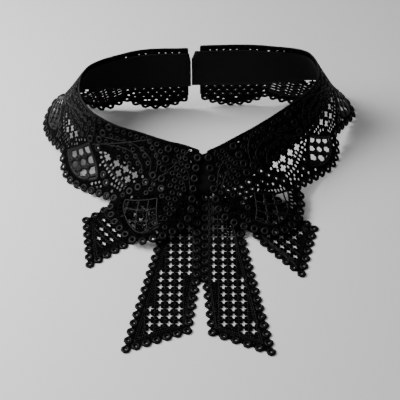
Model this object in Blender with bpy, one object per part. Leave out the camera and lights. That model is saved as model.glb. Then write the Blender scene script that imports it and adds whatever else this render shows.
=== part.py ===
"""A false collar of black guipure lace, standing on a table in the ring that it makes round the neck.

Two scalloped lace halves meet at the front over a placket, each with a plain neckband lining
inside, and four net tails hang below the front: two long ones and two short ones at the sides.
Lengths are in millimetres until a mesh is made. +X is the wearer's left, seen on the right.
"""

import math
from collections import namedtuple

import bpy
import numpy as np
from mathutils import Vector
from mathutils.geometry import delaunay_2d_cdt

MM = 0.001

# Cloth
LACE_THICK = 1.4
LINING_THICK = 1.0
SEAM_GAP = 0.7
LINING_INSET = LACE_THICK / 2 + SEAM_GAP + LINING_THICK / 2

# The chain of small rings that edges every lace piece
RING_RADIUS = 3.0
RING_PITCH = 7.1
RING_ARC = 66  # degrees to each side of straight out, where a ring's outer edge shows
CORNER_REACH = 85  # a ring at a corner shows more than this
WAIST_OUT = 0.3  # how far the notch between two rings lies outside their centres

# Scallops: how far a valley lies above its two tips, as a share of the cloth's depth
VALLEY_DEPTH = 0.15
LOBE_SHOULDER = 0.72  # the front lobe's edge is smooth up to here, then runs to its valley

LOBE_ROUND = 0.4  # the lobe's front corner is rounded from here on, and from LOBE_ROUND_DOWN down
LOBE_ROUND_DOWN = 0.62
FRONT_TOP = 0.07
END_INSET = 0.06

# Net windows: clearances run from an opening's middle to the line of ring centres
NET_PITCH = 6.1
NET_HOLE = 4.3
NET_APART = 5.7  # between the middles of two openings
NET_CLEAR = 8.2
CELL_CLEAR = 4.2  # from an opening's middle to a fan cell's corner
TAIL_TOP = 0.02  # where a tail's edge rings begin, as a share of its length
TAIL_CLEAR_SEAM = 5.6
TAIL_CLEAR_INNER = 5.0
TAIL_CLEAR_TIP = 6.5
TAIL_CLEAR_OUTER = 8.2
NET_BELOW_LINING = 0.02
FAN_CELLS = 3.4  # cells along each straight side of a fan
FAN_REACH = 1.13  # how far past its arc a fan's whole cell may reach, squared
CELL_INSET = 0.14  # the cords' share of a fan's cell, on each side

# Neckband lining
BELT = 0.42  # the belt line's place down the cloth
LINING_TOP = 0.05
LINING_FOOT_FRONT = 0.44
LINING_FOOT_BACK = 0.61
LINING_FRONT = 0.22
PLACKET_EDGE = 0.16
PLACKET_FOOT = 0.43
STEINER_GRID = 9.0
LINING_GRID = 6.5

# A scallop's net fan, a quarter round: (share of the scallop's width, down) of its three corners
Fan = namedtuple("Fan", "apex front_end back_end")
LOBE_FAN = Fan((0.64, 0.58), (0.38, 0.86), (0.92, 0.785))
SCALLOP_FAN = Fan((0.93, 0.48), (0.39, 0.79), (0.95, 0.785))

Section = namedtuple("Section", "place neck belt rim")
Half = namedtuple("Half", "name side sections lace_end notch")
Tail = namedtuple("Tail", "name outer_root inner_root outer_tip inner_tip root_height fall net_at net_heading seam")

# One row a section, from the front edge (0) over the valleys between scallops (1 to 4) to the
# back end (5). Each point is on the lace's middle surface; the rim runs through the ring centres.
LEFT_SECTIONS = (
    Section(0.00, (5.7, 8.0, 38.5), (11.7, -11.5, 22.0), (17.0, -33.0, 6.0)),
    Section(0.30, (9.5, 9.8, 39.2), (19.0, -9.0, 23.5), (37.0, -34.5, 6.5)),
    Section(0.55, (13.0, 11.5, 39.8), (26.5, -6.5, 24.5), (55.0, -35.0, 5.5)),
    Section(0.80, (16.6, 13.5, 40.4), (33.5, -2.5, 26.0), (69.0, -17.0, 5.0)),
    Section(1.00, (20.2, 15.8, 41.0), (39.5, 2.5, 27.0), (79.0, 8.0, 2.4)),
    Section(1.50, (39.5, 29.0, 43.0), (58.5, 23.0, 27.0), (95.5, 36.0, 2.4)),
    Section(2.00, (58.3, 43.4, 45.8), (76.0, 40.5, 28.0), (105.5, 70.0, 2.4)),
    Section(2.50, (76.7, 59.2, 49.8), (90.0, 66.0, 31.0), (114.0, 90.5, 2.4)),
    Section(3.00, (83.4, 72.6, 55.0), (94.0, 88.0, 33.0), (103.5, 114.0, 2.6)),
    Section(3.50, (75.8, 86.6, 61.0), (79.0, 98.0, 36.0), (75.0, 103.0, 2.8)),
    Section(4.00, (48.0, 88.8, 64.5), (48.5, 94.0, 38.0), (48.0, 101.0, 2.8)),
    Section(5.00, (-6.0, 88.6, 65.0), (-6.0, 93.0, 38.0), (-6.0, 99.5, 2.8)),
)
RIGHT_SECTIONS = (
    Section(0.00, (-0.7, 8.5, 38.5), (-4.5, -12.0, 21.0), (-6.0, -36.0, 6.0)),
    Section(0.30, (-6.2, 10.8, 39.2), (-13.0, -11.0, 22.0), (-26.0, -41.5, 6.5)),
    Section(0.55, (-10.8, 12.3, 39.8), (-20.0, -9.0, 23.0), (-44.0, -43.0, 5.5)),
    Section(0.80, (-15.8, 13.5, 40.4), (-27.0, -5.5, 24.0), (-60.0, -22.0, 5.0)),
    Section(1.00, (-20.2, 14.2, 41.0), (-32.5, -3.0, 25.0), (-71.0, -4.0, 2.4)),
    Section(1.50, (-40.0, 20.6, 43.5), (-54.0, 14.0, 26.0), (-92.0, 19.0, 2.4)),
    Section(2.00, (-59.2, 26.4, 46.5), (-77.0, 31.0, 28.5), (-105.5, 47.0, 2.4)),
    Section(2.50, (-76.7, 38.7, 50.0), (-90.0, 50.0, 29.5), (-114.0, 79.5, 2.4)),
    Section(3.00, (-83.6, 55.7, 54.0), (-96.0, 76.0, 31.0), (-105.5, 110.0, 2.6)),
    Section(3.50, (-77.5, 73.6, 59.0), (-82.5, 88.5, 34.0), (-77.5, 95.5, 2.8)),
    Section(4.00, (-51.6, 83.8, 62.3), (-53.0, 90.0, 36.5), (-54.5, 95.5, 2.8)),
    Section(5.00, (-6.6, 86.8, 64.4), (-6.6, 91.6, 38.0), (-6.6, 98.0, 2.8)),
)
# notch is how far the lining's top corner stands back from its end, as a share of a section.
HALVES = (
    Half("left", 1, LEFT_SECTIONS, 4.88, 0.045),
    Half("right", -1, RIGHT_SECTIONS, 4.95, 0.03),
)

# The stretch, from y to y, over which the long tails' inner edges meet
SEAM_TOP = -10.0
SEAM_FOOT = -76.0

# The ring centres at each tail's four corners, (x, y) on the table; fall is the length of its slope
# from the root height down to the table. Net columns start at net_at and follow net_heading. Where
# the long tails meet, seam is (x, shift): each one's rings run down that line and lie between the
# other's, since its first ring is shifted by that share of a pitch.
TAILS = (
    Tail("long_tail_left", (23.0, -8.5), (-2.2, -8.5), (43.5, -132.0), (7.6, -117.0), 18.7, 50.0,
         (9.7, -24.5), (0.0, -1.0), (3.6, 0.5)),
    Tail("long_tail_right", (-20.0, -8.5), (7.4, -8.5), (-45.6, -130.0), (-7.8, -115.5), 18.7, 50.0,
         (-7.2, -24.5), (0.0, -1.0), (-1.7, 0.0)),
    Tail("short_tail_left", (50.8, -1.8), (32.3, -30.0), (76.8, -28.0), (66.0, -68.5), 4.9, 34.0,
         (63.0, -36.0), (0.69, -0.72), None),
    Tail("short_tail_right", (-50.0, 0.7), (-26.0, -24.1), (-77.4, -20.0), (-72.2, -60.5), 8.5, 35.0,
         (-61.9, -24.5), (-0.79, -0.61), None),
)
BLACK_LACE = (0.012, 0.012, 0.013, 1.0)
BLACK_LINING = (0.008, 0.008, 0.009, 1.0)


def clear_scene():
    for thing in list(bpy.data.objects):
        bpy.data.objects.remove(thing, do_unlink=True)


def cloth_material(name, colour, roughness):
    material = bpy.data.materials.new(name)
    material.use_nodes = True
    shader = material.node_tree.nodes["Principled BSDF"]
    shader.inputs["Base Color"].default_value = colour
    shader.inputs["Roughness"].default_value = roughness
    shader.inputs["Metallic"].default_value = 0.0
    material.diffuse_color = colour
    return material


def smooth_rows(places, rows, at):
    """The rows read off at any place along a smooth cubic through them."""
    places = np.array(places, float)
    rows = np.array(rows, float)
    step = np.diff(places)[:, None]
    slope = np.diff(rows, axis=0) / step
    tangent = np.empty_like(rows)
    tangent[1:-1] = (slope[:-1] * step[1:] + slope[1:] * step[:-1]) / (step[1:] + step[:-1])
    tangent[0] = slope[0]
    tangent[-1] = slope[-1]
    i = np.clip(np.searchsorted(places, at, side="right") - 1, 0, len(places) - 2)
    width = step[i]
    x = (np.asarray(at, float)[:, None] - places[i][:, None]) / width
    return (
        (2 * x**3 - 3 * x**2 + 1) * rows[i]
        + (x**3 - 2 * x**2 + x) * width * tangent[i]
        + (3 * x**2 - 2 * x**3) * rows[i + 1]
        + (x**3 - x**2) * width * tangent[i + 1]
    )


def half_points(half, uv):
    """Places (along, down) on a half's middle surface as points in space."""
    uv = np.asarray(uv, float)
    rows = [section.neck + section.belt + section.rim for section in half.sections]
    line = smooth_rows([section.place for section in half.sections], rows, uv[:, 0])
    down = uv[:, 1:2]
    neck_share = (down - BELT) * (down - 1) / BELT
    belt_share = down * (down - 1) / (BELT * (BELT - 1))
    rim_share = down * (down - BELT) / (1 - BELT)
    return neck_share * line[:, :3] + belt_share * line[:, 3:6] + rim_share * line[:, 6:]


def tail_points(tail, uv):
    """Places (across, along) on a tail, from its outer edge and from its root, as points in space."""
    uv = np.asarray(uv, float)
    across = uv[:, 0:1]
    along = uv[:, 1:2]
    root = np.array(tail.outer_root) * (1 - across) + np.array(tail.inner_root) * across
    tip = np.array(tail.outer_tip) * (1 - across) + np.array(tail.inner_tip) * across
    flat = root * (1 - along) + tip * along
    gone = along * np.linalg.norm(tip - root, axis=1)[:, None]
    slope = np.clip(1 - gone / tail.fall, 0, 1) ** 3.2
    height = LACE_THICK / 2 + tail.root_height * slope
    return np.hstack([flat, height])


def frame_at(points_of, uv):
    """(point, along, down, normal) at places on a surface; along and down are per unit of place."""
    uv = np.asarray(uv, float)
    small = 1e-4
    side = np.array([[small, 0.0]])
    below = np.array([[0.0, small]])
    along = (points_of(uv + side) - points_of(uv - side)) / (2 * small)
    down = (points_of(uv + below) - points_of(uv - below)) / (2 * small)
    normal = np.cross(along, down)
    normal /= np.linalg.norm(normal, axis=1)[:, None]
    return points_of(uv), along, down, normal


def direction(points_of, place, heading):
    """The direction in space of a change of place."""
    _, along, down, _ = frame_at(points_of, [place])
    return heading[0] * along[0] + heading[1] * down[0]


def step_on(points_of, place, ahead_by, out_by, toward):
    """A place moved on its surface by millimetres: along a direction in space, and out to its right."""
    _, along, down, normal = frame_at(points_of, [place])
    basis = np.array([along[0], down[0]])
    ahead = toward - (toward @ normal[0]) * normal[0]
    ahead /= np.linalg.norm(ahead)
    move = ahead * ahead_by + np.cross(ahead, normal[0]) * out_by
    return np.asarray(place) + np.linalg.solve(basis @ basis.T, basis @ move)


def spaced_places(points_of, path, pitch):
    """Places evenly spaced in millimetres along a path of places, with both ends."""
    path = np.asarray(path, float)
    points = points_of(path)
    gone = np.concatenate([[0], np.cumsum(np.linalg.norm(np.diff(points, axis=0), axis=1))])
    count = max(1, round(gone[-1] / pitch))
    at = np.linspace(0, gone[-1], count + 1)
    return np.stack([np.interp(at, gone, path[:, k]) for k in range(2)], axis=1)


def corner_turn(before, centre, after, normal):
    """The degrees by which a chain turns left at a ring: more than 0 round an outer corner."""
    first = centre - before
    second = after - centre
    if not first.any() or not second.any():
        return 0.0
    return math.degrees(math.atan2(np.cross(first, second) @ normal, first @ second))


def ring_edge(points_of, centres):
    """The outline of a chain of rings: an arc round each one and a notch between two."""
    centres = np.asarray(centres)
    points, _, _, normals = frame_at(points_of, centres)
    outline = []
    for i, centre in enumerate(centres):
        before = points[max(i - 1, 0)]
        after = points[min(i + 1, len(points) - 1)]
        reach = RING_ARC + corner_turn(before, points[i], after, normals[i]) / 2
        for degrees in np.linspace(-reach, reach, 4 if reach < CORNER_REACH else 6):
            turn = math.radians(degrees)
            ahead_by = RING_RADIUS * math.sin(turn)
            out_by = RING_RADIUS * math.cos(turn)
            outline.append(step_on(points_of, centre, ahead_by, out_by, after - before))
        if i < len(centres) - 1:
            between = (centre + centres[i + 1]) / 2
            outline.append(step_on(points_of, between, 0, WAIST_OUT, after - points[i]))
    return outline


def edge_depth(half, along):
    """How far down the rim's ring centres lie at a place along the half."""
    if along < 1:
        return 1 - VALLEY_DEPTH * max(0, (along - LOBE_SHOULDER) / (1 - LOBE_SHOULDER)) ** 2
    first = min(int(along), 4)
    width = half.lace_end - 4 if first == 4 else 1
    return 1 - VALLEY_DEPTH * (2 * (along - first) / width - 1) ** 2


def rim_paths(half):
    """The places of the ring centres, one path from valley to valley: the last one turns up the front."""
    paths = []
    for first, last in ((half.lace_end - END_INSET, 4), (4, 3), (3, 2), (2, 1)):
        paths.append([(along, edge_depth(half, along)) for along in np.linspace(first, last, 100)])
    lobe = [(along, edge_depth(half, along)) for along in np.linspace(1, LOBE_ROUND, 80)]
    for turn in np.linspace(math.pi / 2, 0, 60)[1:]:
        rise = (1 - LOBE_ROUND_DOWN) * math.sin(turn)
        lobe.append((LOBE_ROUND * (1 - math.cos(turn)), LOBE_ROUND_DOWN + rise))
    lobe += [(0.0, down) for down in np.linspace(LOBE_ROUND_DOWN, FRONT_TOP, 60)[1:]]
    return [np.array(path) for path in [*paths, lobe]]


def ring_places(points_of, paths):
    """The ring centres along paths that follow each other, each shared end taken once."""
    places = [spaced_places(points_of, path, RING_PITCH) for path in paths]
    return np.vstack([places[0], *[stretch[1:] for stretch in places[1:]]])


def square_hole(points_of, centre, toward):
    """A square opening, one of whose sides follows a direction in space."""
    half = NET_HOLE / 2
    corners = ((-half, -half), (half, -half), (half, half), (-half, half))
    return [step_on(points_of, centre, ahead_by, out_by, toward) for ahead_by, out_by in corners]


def lining_foot(along):
    """How far down the lining reaches: further at the back, where the cloth stands upright."""
    share = min(1.0, max(0.0, (along - 2.5) / 1.3))
    return LINING_FOOT_FRONT + (LINING_FOOT_BACK - LINING_FOOT_FRONT) * share * share * (3 - 2 * share)


def clear_holes(points_of, edges, wanted):
    """The wanted openings, (place, toward), that stand clear of the edges, (path, clear), and each other."""
    taken = []
    holes = []
    edges = [(points_of(np.asarray(path)), clear) for path, clear in edges]
    for centre, toward in wanted:
        point = points_of(np.array([centre]))[0]
        if any(np.linalg.norm(path - point, axis=1).min() < clear for path, clear in edges):
            continue
        if any(np.linalg.norm(point - other) < NET_APART for other in taken):
            continue
        taken.append(point)
        holes.append(square_hole(points_of, centre, toward))
    return holes


def fan_frame(half, first):
    """(apex, step along the front side, step along the back side) of a fan, a cell at a time, in place."""
    fan = SCALLOP_FAN if first else LOBE_FAN
    width = half.lace_end - 4 if first == 4 else 1
    apex, front_end, back_end = (np.array([first + width * share, down]) for share, down in fan)
    return apex, (front_end - apex) / FAN_CELLS, (back_end - apex) / FAN_CELLS


def fan_cells(half):
    """The whole cells of every fan that stand clear of the lining, as openings in place."""
    cells = []
    low = CELL_INSET
    high = 1 - CELL_INSET
    for first in range(5):
        apex, forward, back = fan_frame(half, first)
        for i in range(3):
            for j in range(3):
                corners = ((i + low, j + low), (i + high, j + low), (i + high, j + high), (i + low, j + high))
                cell = [apex + forward * x + back * y for x, y in corners]
                over = min(down - lining_foot(along) for along, down in cell)
                if (i + 1) ** 2 + (j + 1) ** 2 < FAN_REACH * FAN_CELLS**2 and over > NET_BELOW_LINING:
                    cells.append(cell)
    return cells


# Single openings, (along, down): in the gores between fans, from each scallop's front valley, and
# in the narrow window beside the front edge.
GORE_NET = ((0.2, 0.50), (0.34, 0.50), (0.48, 0.50), (0.62, 0.50), (0.2, 0.59), (0.34, 0.59))
FRONT_NET = ((0.15, 0.60), (0.12, 0.70), (0.21, 0.72))


def single_net(points_of):
    wanted = [np.array(place) for place in FRONT_NET]
    for first in range(1, 5):
        for share, down in GORE_NET:
            along = first + share
            wanted.append(np.array([along, down - LINING_FOOT_FRONT + lining_foot(along)]))
    return [(centre, direction(points_of, centre, (1.0, 0.0))) for centre in wanted]


def inside(loop, place):
    """Whether a place lies inside a loop of places."""
    x, y = place
    found = False
    for (x0, y0), (x1, y1) in zip(loop, np.roll(loop, -1, axis=0)):
        if (y0 > y) != (y1 > y) and x < (x1 - x0) * (y - y0) / (y1 - y0) + x0:
            found = not found
    return found


def grid_places(outline, holes, spread, grid):
    """Places on an even grid inside the outline, clear of it and of the openings."""
    flat = [np.asarray(loop) * spread for loop in [outline, *holes]]
    near = []
    for loop in flat:
        for a, b in zip(loop, np.roll(loop, -1, axis=0)):
            count = max(1, int(np.linalg.norm(b - a) / 2))
            near += [a + (b - a) * k / count for k in range(count)]
    near = np.array(near)
    clear = grid * 0.55
    low = flat[0].min(axis=0)
    high = flat[0].max(axis=0)
    found = []
    for row, y in enumerate(np.arange(low[1] + clear, high[1], grid * 0.87)):
        for x in np.arange(low[0] + clear + (row % 2) * grid / 2, high[0], grid):
            place = np.array([x, y])
            if np.linalg.norm(near - place, axis=1).min() < clear or not inside(flat[0], place):
                continue
            if not any(inside(loop, place) for loop in flat[1:]):
                found.append(place / spread)
    return found


def cloth_wall(name, points_of, outline, holes, spread, thick, offset, material, grid=STEINER_GRID):
    """A wall of one thickness on a surface: its outline and openings in place, moved out by offset.

    spread turns places into about millimetres, so that the triangles come out even.
    """
    spread = np.array(spread, float)
    loops = [np.asarray(outline), *[np.asarray(hole) for hole in holes]]
    places = [place for loop in loops for place in loop]
    places += grid_places(outline, holes, spread, grid)
    faces = []
    first = 0
    for loop in loops:
        ring = list(range(first, first + len(loop)))
        area = sum(a[0] * b[1] - b[0] * a[1] for a, b in zip(loop, np.roll(loop, -1, axis=0)))
        faces.append(ring if area > 0 else ring[::-1])
        first += len(loop)
    flat = [Vector(place * spread) for place in places]
    cut, _, triangles, _, _, sources = delaunay_2d_cdt(flat, [], faces, 1, 1e-6)
    kept = [tri for tri, source in zip(triangles, sources) if list(source) == [0]]
    used = sorted({corner for tri in kept for corner in tri})
    number = {corner: i for i, corner in enumerate(used)}
    kept = [[number[corner] for corner in tri] for tri in kept]
    uv = np.array([cut[corner] for corner in used]) / spread
    middle, _, _, normal = frame_at(points_of, uv)
    middle = middle + normal * offset
    top = middle + normal * thick / 2
    bottom = middle - normal * thick / 2
    count = len(uv)
    vertices = np.vstack([top, bottom])
    vertices[:, 2] = np.maximum(vertices[:, 2], 0)
    quads = [list(tri) for tri in kept]
    quads += [[corner + count for corner in reversed(tri)] for tri in kept]
    directed = {(tri[k], tri[(k + 1) % 3]) for tri in kept for k in range(3)}
    for a, b in sorted(directed):
        if (b, a) not in directed:
            quads.append([b, a, a + count, b + count])
    mesh = bpy.data.meshes.new(name)
    mesh.from_pydata([tuple(v * MM) for v in vertices], [], quads)
    mesh.materials.append(material)
    piece = bpy.data.objects.new(name, mesh)
    bpy.context.scene.collection.objects.link(piece)
    return piece


def line_places(start, end, count):
    return [np.array(start) + (np.array(end) - np.array(start)) * k / count for k in range(count)]


def collar_lace(half, material):
    def points_of(uv):
        return half_points(half, uv)

    paths = rim_paths(half)
    outline = line_places((0.0, 0.0), (half.lace_end, 0.0), 30)
    outline += line_places((half.lace_end, 0.0), (half.lace_end, 1 - VALLEY_DEPTH - 0.04), 6)
    outline += ring_edge(points_of, ring_places(points_of, paths))
    cells = fan_cells(half)
    edges = [(path, NET_CLEAR) for path in paths] + [(cell, CELL_CLEAR) for cell in cells]
    holes = cells + clear_holes(points_of, edges, single_net(points_of))
    return cloth_wall(
        f"collar_lace_{half.name}", points_of, outline, holes, (50, 68), LACE_THICK, 0, material
    )


def neckband_lining(half, material):
    def points_of(uv):
        return half_points(half, uv)

    notched = 5 - half.notch
    outline = line_places((LINING_FRONT, LINING_TOP), (notched, LINING_TOP), 26)
    outline += [np.array((notched, LINING_TOP))]
    outline += line_places((5.0, LINING_TOP + 0.13), (5.0, LINING_FOOT_BACK), 3)
    foot = line_places((5.0, 0.0), (LINING_FRONT, 0.0), 26)
    outline += [np.array([along, lining_foot(along)]) for along, _ in foot]
    outline += line_places((LINING_FRONT, LINING_FOOT_FRONT), (LINING_FRONT, LINING_TOP), 3)
    inward = half.side * LINING_INSET
    name = f"neckband_lining_{half.name}"
    return cloth_wall(name, points_of, outline, [], (50, 68), LINING_THICK, inward, material, LINING_GRID)


def placket(material):
    """The plain strip that joins the two linings behind the front edges."""
    left, right = HALVES

    def edge(half, down):
        places = np.column_stack([np.full(len(down), PLACKET_EDGE), down])
        points, _, _, normal = frame_at(lambda uv: half_points(half, uv), places)
        return points + normal * half.side * LINING_INSET

    def points_of(uv):
        across = uv[:, 0:1]
        return edge(right, uv[:, 1]) * (1 - across) + edge(left, uv[:, 1]) * across

    outline = line_places((0, LINING_TOP), (1, LINING_TOP), 3)
    outline += line_places((1, LINING_TOP), (1, PLACKET_FOOT), 4)
    outline += line_places((1, PLACKET_FOOT), (0, PLACKET_FOOT), 3)
    outline += line_places((0, PLACKET_FOOT), (0, LINING_TOP), 4)
    return cloth_wall("centre_front_placket", points_of, outline, [], (14, 68), LINING_THICK, 0, material)


def tail_edges(tail, points_of):
    """(ring centres down the seam, the other paths of ring centres) of a tail's edge."""
    tip = np.linspace((1.0, 1.0), (0.0, 1.0), 61)
    outer = np.linspace((0.0, 1.0), (0.0, TAIL_TOP), 61)
    if not tail.seam:
        return [], [np.linspace((1.0, TAIL_TOP), (1.0, 1.0), 61), tip, outer]
    x, shift = tail.seam
    spots = np.linspace((x, SEAM_TOP), (x, SEAM_FOOT), 61)
    path = np.array([place_over(points_of, spot) for spot in spots])
    points = points_of(path)
    gone = np.concatenate([[0], np.cumsum(np.linalg.norm(np.diff(points, axis=0), axis=1))])
    at = np.arange(shift * RING_PITCH, gone[-1], RING_PITCH)
    seam = np.stack([np.interp(at, gone, path[:, k]) for k in range(2)], axis=1)
    return list(seam[:-1]), [np.linspace(seam[-1], (1.0, 1.0), 61), tip, outer]


def tail_piece(tail, material):
    def points_of(uv):
        return tail_points(tail, uv)

    seam, paths = tail_edges(tail, points_of)
    outline = ring_edge(points_of, [*seam, *ring_places(points_of, paths)])
    edges = list(zip(paths, (TAIL_CLEAR_INNER, TAIL_CLEAR_TIP, TAIL_CLEAR_OUTER)))
    if seam:
        edges += [(seam, TAIL_CLEAR_SEAM), (paths[0], TAIL_CLEAR_SEAM)]
    holes = clear_holes(points_of, edges, tail_net(tail, points_of))
    width = math.dist(tail.outer_tip, tail.inner_tip)
    length = math.dist(tail.outer_root, tail.outer_tip)
    return cloth_wall(tail.name, points_of, outline, holes, (width, length), LACE_THICK, 0, material)


def place_over(points_of, spot):
    """The place on a surface that lies over a spot of the table."""
    place = np.array([0.5, 0.5])
    for _ in range(12):
        point, along, down, _ = frame_at(points_of, [place])
        slope = np.array([along[0][:2], down[0][:2]]).T
        place = place + np.linalg.solve(slope, np.asarray(spot) - point[0][:2])
    return place


def tail_net(tail, points_of):
    """Wanted openings of a tail, in straight columns."""
    ahead = np.array(tail.net_heading)
    aside = np.array([ahead[1], -ahead[0]])
    wanted = []
    for column in range(-5, 6):
        for row in range(-4, 20):
            spot = np.array(tail.net_at) + ahead * row * NET_PITCH + aside * column * NET_PITCH
            place = place_over(points_of, spot)
            if 0 < place[0] < 1 and 0 < place[1] < 1:
                wanted.append((place, np.array([*ahead, 0.0])))
    return wanted


def stand_on_origin(pieces):
    """Moves every piece so that the whole stands on the origin, centred over it."""
    corners = np.array([tuple(v.co) for piece in pieces for v in piece.data.vertices])
    middle = (corners.min(axis=0) + corners.max(axis=0)) / 2
    shift = Vector((-middle[0], -middle[1], -corners[:, 2].min()))
    for piece in pieces:
        for vertex in piece.data.vertices:
            vertex.co += shift
    return shift


def main():
    clear_scene()
    lace = cloth_material("black_lace", BLACK_LACE, 0.62)
    lining = cloth_material("black_lining", BLACK_LINING, 0.85)
    pieces = []
    for half in HALVES:
        pieces.append(collar_lace(half, lace))
        pieces.append(neckband_lining(half, lining))
    pieces.append(placket(lining))
    for tail in TAILS:
        pieces.append(tail_piece(tail, lace))
    return stand_on_origin(pieces)


main()
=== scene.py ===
"""The looks of a black guipure lace collar that stands in its own ring on a light table.

Every piece is laid out flat, in places along and down its cloth, and carried onto the same
surfaces as the solids that it stands for. Lengths are in millimetres until a mesh is made.
"""

import math
from collections import namedtuple

import bpy
import numpy as np
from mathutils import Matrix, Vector
from mathutils.geometry import delaunay_2d_cdt


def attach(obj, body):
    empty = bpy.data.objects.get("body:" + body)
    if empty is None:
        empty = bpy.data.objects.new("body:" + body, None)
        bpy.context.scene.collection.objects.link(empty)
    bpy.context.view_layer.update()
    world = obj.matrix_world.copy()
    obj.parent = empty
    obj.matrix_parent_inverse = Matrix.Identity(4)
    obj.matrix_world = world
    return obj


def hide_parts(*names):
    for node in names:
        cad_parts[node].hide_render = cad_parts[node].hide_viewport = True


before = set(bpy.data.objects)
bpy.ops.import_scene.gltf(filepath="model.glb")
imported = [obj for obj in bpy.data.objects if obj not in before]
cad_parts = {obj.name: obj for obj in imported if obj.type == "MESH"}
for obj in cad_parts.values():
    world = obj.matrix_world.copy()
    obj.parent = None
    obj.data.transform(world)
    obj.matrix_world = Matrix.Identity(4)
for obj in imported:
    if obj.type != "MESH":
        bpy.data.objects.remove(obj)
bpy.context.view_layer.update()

MM = 0.001
SHIFT = np.array([0.183, 11.161, 0.0])  # from the tables' millimetres to the part's own frame

# Cloth
GROUND_THICK = 0.6
LINING_THICK = 0.5
LINING_INSET = 1.9  # from the lace's middle to the lining's
LINING_GRID = 4.0  # between the points inside a plain piece
GRID_ROW = 0.87  # between the rows of that grid, and clear of its edge, as shares of the spacing
GRID_CLEAR = 0.55
HEM_STEP = 1.5
HEM_WIDTH = 1.4
HEM_HEIGHT = 0.9
WALL_HALF = 0.7  # half the solid lace wall, so that tails lie on the table as their solids do
SLOPE_POWER = 3.2  # a tail's slope flattens out towards the table

# Flat sizes of the sheets, in metres, and the millimetres that a place stands for, along and down
COLLAR_SPREAD = (50, 68)
PLACKET_SPREAD = (14, 68)
STRIP_SPREAD = (40, 120)

# The chain of small rings that edges every lace piece
RING_RADIUS = 3.0
RING_PITCH = 7.1
RING_ARC = 66
CORNER_REACH = 85
WAIST_OUT = 0.3
RING_EYE = 0.85  # the radius of a ring's hole
EDGE_SQUEEZE = 1.2  # how far a ring may reach into room that is taken: at the edge, and elsewhere
SQUEEZE = 0.4
CHAIN_PITCH = 6.6  # along the columns of rings inside the lace

# Scallops
VALLEY_DEPTH = 0.15
LOBE_SHOULDER = 0.72
LOBE_ROUND = 0.4
LOBE_ROUND_DOWN = 0.62
FRONT_TOP = 0.07
END_INSET = 0.06
FAN_CELLS = 3.4

# Cords
CORD_HEIGHT = 1.1
CORD_STEP = 1.3
PATH_STEPS = 12  # between two given points of a path
CURVE_STEPS = 10  # and of a smooth one
EDGE_ROOM = 0.7  # how far from its middle line the cord along the neck and back end takes up room
GORE_ROOM = 0.4  # and the cord under the gore stars
FAN_CORD = 2.8
LOBE_FAN_CORD = 1.3
BACK_FAN_CORD = 2.1
FAN_LINES = (1, 2, 3)
BACK_FAN_LINES = np.arange(0.5, FAN_CELLS - 0.2, 0.5)
EDGE_CORD = 1.2
BAND_CORD = 1.0
NET_CORD = 0.9
BORDER_CORD = 0.8
BORDER_LINES = (3.8, 5.0)  # the border cords' distances from a tail's ring centres
INNER_SHARE = 0.62  # they lie closer together on a tail's inner edge

# Net and small openings
NET_PITCH = 6.1
NET_COLUMNS = range(-6, 7)  # the cells tried, counted from the one at a tail's net_at
NET_ROWS = range(-5, 20)
TAIL_TOP = 0.02  # where a tail's edge rings begin, as a share of its length
SHORT_TAIL_TOP = -0.24  # the short ones reach on behind the lobes
UNDER = 0.5  # how far below the long tails' middle surface the strip under their seam lies
UNDER_THICK = 0.2
UNDER_FROM, UNDER_TO = -1.5, 3.4  # the strip's two sides, as x on the table
BAR = 0.5  # the least thread between two openings
NARROW_BAR = 0.3  # and beside a slot, or a star in the collar
# How far a star's tips and inner corners stand out, and half an arm
STAR = (2.4, 0.74, 0.46)
SHORT_STAR = (2.15, 0.66, 0.42)
GORE_STAR = (2.75, 1.15, 0.8)
STAR_ROOM = 2.1  # how far from its middle a star takes up room, and so on for the others
GORE_STAR_ROOM = 2.4
STAR_CLEAR = (5.1, 7.0, 6.4)  # from a star's middle to a tail's inner edge, tip and outer edge
SLOT = (1.5, 2.5)
SLOT_ROOM = 0.95
SLOT_PITCH = 2.75
FAN_SLOTS_OUT = 2.2
GORE_SLOTS_OUT = 1.95
NECK_SLOT = (2.2, 1.3)
NECK_SLOT_ROOM = 0.9
NECK_SLOT_PITCH = 3.4
NECK_SLOT_DOWN = 0.026
PIN_HOLE = 0.5
PIN_BAR = 0.35
PIN_ROWS = np.arange(-0.1, 0.99, 0.016)
PIN_COLUMNS = np.arange(0.03, 0.99, 0.04)
FILL_ROWS = np.arange(0.06, 0.985, 0.034)
FILL_PITCH = 2.7
FILL_RADIUS = (0.95, 0.2)  # the least, and what chance adds to it
FILL_FROM_EDGE = 0.02
SEED = 11

# Neckband lining
BELT = 0.42
LINING_TOP = 0.05
LINING_FOOT_FRONT = 0.44
LINING_FOOT_BACK = 0.61
LINING_DROP_FROM, LINING_DROP_OVER = 2.5, 1.3  # where its foot goes down, along the half
LINING_FRONT = 0.22
PLACKET_EDGE = 0.205
PLACKET_TOP = 0.005  # at its corners: its top edge dips to the linings' own in the middle
PLACKET_FOOT = 0.475

# The pattern: places are (share of a scallop's width, down) unless they say otherwise
UP_EDGE = (1.0, 0.0)  # the heading along the cloth
FAN_TURNS = 14  # steps round a fan's arc
FAN_SIDE = 5  # and along each straight side
KNOT = 1.9  # how much a fan's knots are enlarged
LOBE_KNOT = 1.2
BACK_FROM = 3  # the scallops from here on, under the back of the lining, have a closer lattice
LAST = 4  # the scallop at the back end: closed, with rows of rings
LAST_ROWS = ((0.665, 0), (0.735, 1), (0.805, 0))  # (down, places skipped first)
LAST_PITCH = 6.2
LAST_INSET = 0.12
LAST_FILL = 0.35  # the share of its small openings below the lining that are cut
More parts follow.
